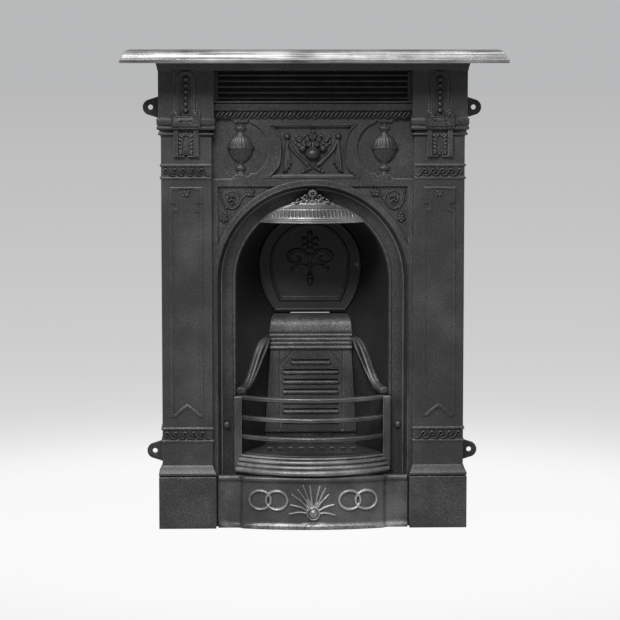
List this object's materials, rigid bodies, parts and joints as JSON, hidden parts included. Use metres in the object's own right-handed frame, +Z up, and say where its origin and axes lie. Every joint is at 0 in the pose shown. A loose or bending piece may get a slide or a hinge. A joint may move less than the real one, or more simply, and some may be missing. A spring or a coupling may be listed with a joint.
{
  "type": "cast-iron combination fireplace",
  "caption": "Arched cast-iron fireplace with a mantel shelf, panelled pilasters, a carved frieze, hood, bowed bars, ash cover and hinged flue flap.",
  "frame": {"origin": "middle of the underside of the whole piece's bounding box", "axes": "+Z up, -Y the front, +X to the right seen from the front"},
  "size_m": [0.762, 0.3386, 0.9652],
  "materials": {
    "black_iron": "black-leaded, with a soft grey sheen",
    "polished_iron": "polished bright, a little worn",
    "rubbed_iron": "black-leaded and rubbed bright on its edges",
    "sooty_iron": "dull and sooty"
  },
  "bodies": {
    "fireplace": {"surround": "black_iron", "mantel_shelf": "polished_iron", "hood": "polished_iron", "back_casing": "sooty_iron", "fireback": "rubbed_iron", "cheek_left": "black_iron", "cheek_right": "black_iron", "bottom_grate": "sooty_iron", "grate_front": "rubbed_iron", "ash_cover": "rubbed_iron", "bolt_left": "rubbed_iron", "bolt_right": "rubbed_iron"},
    "flap": {"flue_flap": "sooty_iron"}
  },
  "joints": [
    {"name": "flap_hinge", "type": "hinge", "parent": "fireplace", "child": "flap", "pos_m": [0, 0.14472, 0.422], "axis": [1, 0, 0], "range_deg": [0, 25]}
  ]
}
